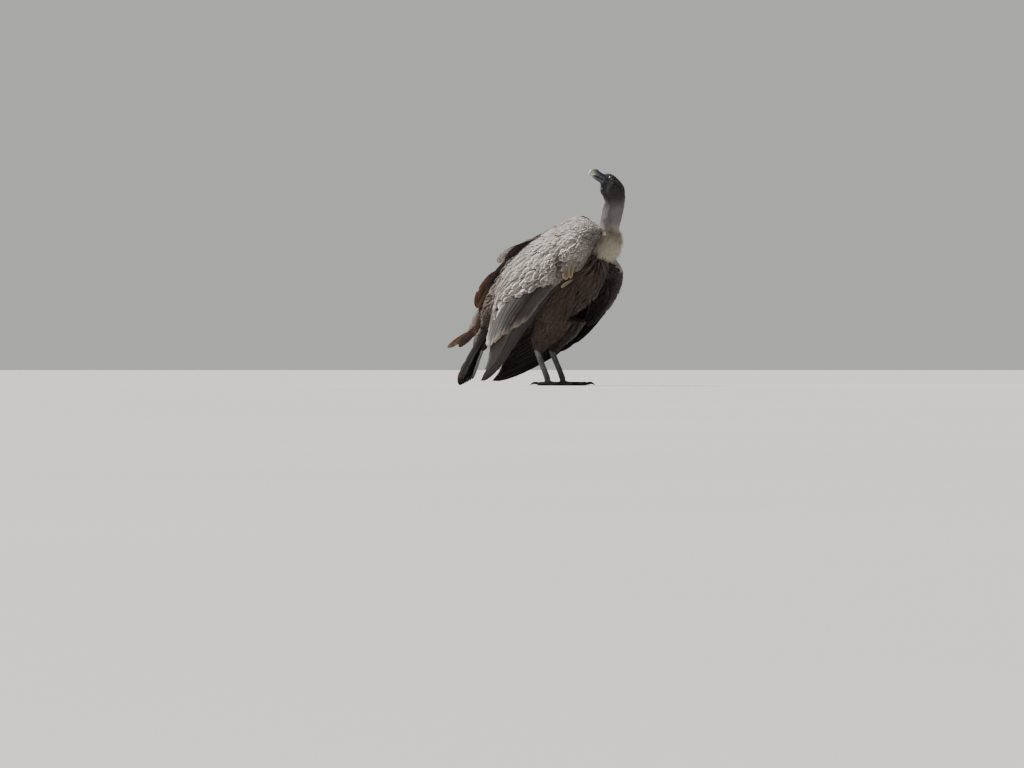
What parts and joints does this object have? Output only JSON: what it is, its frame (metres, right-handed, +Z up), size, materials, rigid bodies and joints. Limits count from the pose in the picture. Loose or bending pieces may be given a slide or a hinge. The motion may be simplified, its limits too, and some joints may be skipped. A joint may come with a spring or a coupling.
{
  "type": "griffon vulture",
  "caption": "Life-size griffon vulture, standing hunched on folded wings with its bare neck raised and its head turned back over the right shoulder",
  "frame": {"origin": "on the floor, under the middle of the bird's length and width", "axes": "+X is the way the breast faces, +Y the bird's left, +Z up"},
  "size_m": [0.7024, 0.3572, 0.7651],
  "materials": {
    "body_plumage": "soft rufous brown body feathers with paler shaft streaks",
    "coverts": "warm sandy buff wing coverts, pale edged",
    "flight_feathers": "blackish brown flight and tail feathers with a dull sheen",
    "neck_down": "short dingy white down",
    "ruff_down": "loose cream and buff down",
    "face_down": "sparse grey down over bluish grey skin",
    "cere": "dark grey waxy skin",
    "horn": "smooth horn, pale at the tip",
    "eye": "wet amber brown eye",
    "leg_skin": "scaly grey skin",
    "claw_horn": "dark worn horn"
  },
  "bodies": {
    "root": {"trunk": "body_plumage", "cere": "cere", "bill_upper": "horn", "bill_lower": "horn", "head": "face_down", "eye_left": "eye", "eye_right": "eye", "neck_upper": "neck_down", "neck_lower": "neck_down", "ruff": "ruff_down", "wing_right_coverts": "coverts", "wing_right_secondaries": "flight_feathers", "wing_right_primaries": "flight_feathers", "wing_left_coverts": "coverts", "wing_left_secondaries": "flight_feathers", "wing_left_primaries": "flight_feathers", "tail": "flight_feathers", "thigh_right": "body_plumage", "tarsus_right": "leg_skin", "foot_right": "leg_skin", "claw_right_middle": "claw_horn", "claw_right_inner": "claw_horn", "claw_right_outer": "claw_horn", "claw_right_hind": "claw_horn", "thigh_left": "body_plumage", "tarsus_left": "leg_skin", "foot_left": "leg_skin", "claw_left_middle": "claw_horn", "claw_left_inner": "claw_horn", "claw_left_outer": "claw_horn", "claw_left_hind": "claw_horn"}
  },
  "joints": []
}
